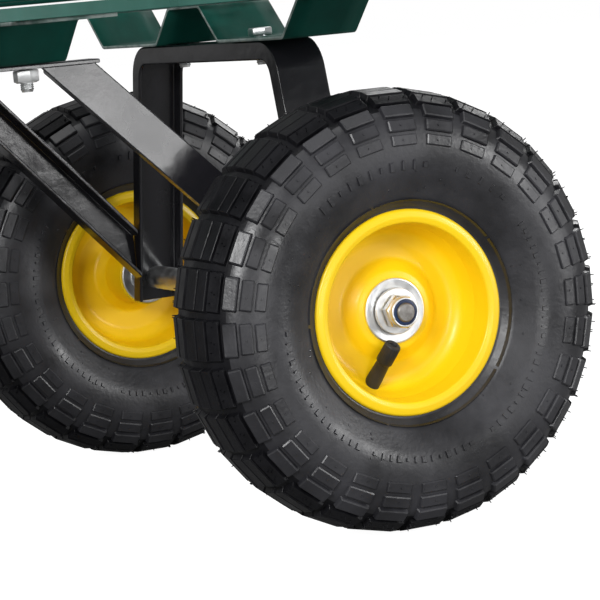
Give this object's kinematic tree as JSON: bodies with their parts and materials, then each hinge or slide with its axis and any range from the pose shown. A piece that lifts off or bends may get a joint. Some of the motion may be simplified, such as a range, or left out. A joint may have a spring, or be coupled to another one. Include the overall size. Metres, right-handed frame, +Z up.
{
  "type": "garden cart",
  "caption": "Pull-along garden cart with a wire-mesh load bed, pneumatic wheels, a steered front axle, a pull handle and fold-down sides.",
  "frame": {"origin": "on the ground, under the middle of the whole cart", "axes": "+X forwards to the pull handle, +Y to the left side, +Z up"},
  "size_m": [1.01, 0.4938, 1.1261],
  "materials": {
    "green_paint": "gloss",
    "black_paint": "gloss",
    "yellow_paint": "gloss",
    "tyre_rubber": "matte",
    "tube_rubber": "satin",
    "zinc": "satin",
    "grip_plastic": "matte"
  },
  "bodies": {
    "root": {"bed_frame": "green_paint", "floor_mesh": "green_paint", "front_panel": "green_paint", "cross_member_rear": "green_paint", "cross_member_middle": "green_paint", "cross_member_front": "green_paint", "rear_bracket": "black_paint", "rear_axle": "zinc", "rear_brace_left": "black_paint", "rear_brace_right": "black_paint", "rear_bracket_left_bolt": "zinc", "rear_bracket_left_nut": "zinc", "rear_bracket_right_bolt": "zinc", "rear_bracket_right_nut": "zinc", "rear_brace_left_bolt": "zinc", "rear_brace_left_nut": "zinc", "rear_brace_right_bolt": "zinc", "rear_brace_right_nut": "zinc", "turntable_fixed_plate": "black_paint", "kingpin": "zinc", "kingpin_nut": "zinc", "washer_rear_left": "zinc", "wheel_nut_rear_left": "zinc", "washer_rear_right": "zinc", "wheel_nut_rear_right": "zinc"},
    "wheel_rear_left": {"tyre_rear_left": "tyre_rubber", "inner_tube_rear_left": "tube_rubber", "rim_rear_left": "yellow_paint", "bearing_outer_rear_left": "zinc", "bearing_inner_rear_left": "zinc"},
    "wheel_rear_right": {"tyre_rear_right": "tyre_rubber", "inner_tube_rear_right": "tube_rubber", "rim_rear_right": "yellow_paint", "bearing_outer_rear_right": "zinc", "bearing_inner_rear_right": "zinc"},
    "wheel_front_left": {"tyre_front_left": "tyre_rubber", "inner_tube_front_left": "tube_rubber", "rim_front_left": "yellow_paint", "bearing_outer_front_left": "zinc", "bearing_inner_front_left": "zinc"},
    "wheel_front_right": {"tyre_front_right": "tyre_rubber", "inner_tube_front_right": "tube_rubber", "rim_front_right": "yellow_paint", "bearing_outer_front_right": "zinc", "bearing_inner_front_right": "zinc"},
    "steering": {"turntable_turning_plate": "black_paint", "front_bracket": "black_paint", "front_axle": "zinc", "tongue": "black_paint", "handle_pin": "zinc", "washer_front_left": "zinc", "wheel_nut_front_left": "zinc", "washer_front_right": "zinc", "wheel_nut_front_right": "zinc"},
    "handle": {"handle_shaft": "black_paint", "handle_grip": "grip_plastic"},
    "side_left": {"side_panel_left": "green_paint"},
    "side_right": {"side_panel_right": "green_paint"},
    "tailgate": {"tailgate": "green_paint"}
  },
  "joints": [
    {"name": "wheel_rear_left_spin", "type": "hinge", "parent": "root", "child": "wheel_rear_left", "pos_m": [-0.335, 0.2044, 0.13], "axis": [0, 1, 0], "continuous": true},
    {"name": "wheel_rear_right_spin", "type": "hinge", "parent": "root", "child": "wheel_rear_right", "pos_m": [-0.335, -0.2044, 0.13], "axis": [0, 1, 0], "continuous": true},
    {"name": "wheel_front_left_spin", "type": "hinge", "parent": "steering", "child": "wheel_front_left", "pos_m": [0.225, 0.2044, 0.13], "axis": [0, 1, 0], "continuous": true},
    {"name": "wheel_front_right_spin", "type": "hinge", "parent": "steering", "child": "wheel_front_right", "pos_m": [0.225, -0.2044, 0.13], "axis": [0, 1, 0], "continuous": true},
    {"name": "steer", "type": "hinge", "parent": "root", "child": "steering", "pos_m": [0.225, 0, 0.28], "axis": [0, 0, 1], "range_deg": [-40, 40]},
    {"name": "handle_tilt", "type": "hinge", "parent": "steering", "child": "handle", "pos_m": [0.49, 0, 0.2611], "axis": [0, 1, 0], "range_deg": [0, 105]},
    {"name": "side_left_fold", "type": "hinge", "parent": "root", "child": "side_left", "pos_m": [-0.055, 0.233, 0.3314], "axis": [-1, 0, 0], "range_deg": [0, 90]},
    {"name": "side_right_fold", "type": "hinge", "parent": "root", "child": "side_right", "pos_m": [-0.055, -0.233, 0.3314], "axis": [1, 0, 0], "range_deg": [0, 90]},
    {"name": "tailgate_fold", "type": "hinge", "parent": "root", "child": "tailgate", "pos_m": [-0.498, 0, 0.3314], "axis": [0, -1, 0], "range_deg": [0, 90]}
  ]
}
